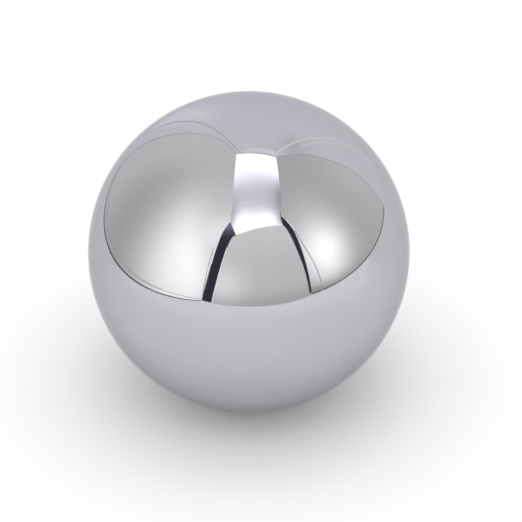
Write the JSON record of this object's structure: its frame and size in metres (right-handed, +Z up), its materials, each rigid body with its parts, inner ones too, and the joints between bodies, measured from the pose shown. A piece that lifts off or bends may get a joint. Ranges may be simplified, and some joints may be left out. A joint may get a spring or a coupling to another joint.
{
  "type": "steel ball",
  "caption": "Solid steel ball, ground round and polished to a mirror, with no flat, hole or seam.",
  "frame": {"origin": "centre of the ball", "axes": "+Z up, away from the point it touches a table at; X and Y level. A ball is the same about every axis"},
  "size_m": [0.05, 0.05, 0.05],
  "materials": {
    "polished_steel": "polished"
  },
  "bodies": {
    "root": {"ball": "polished_steel"}
  },
  "joints": []
}
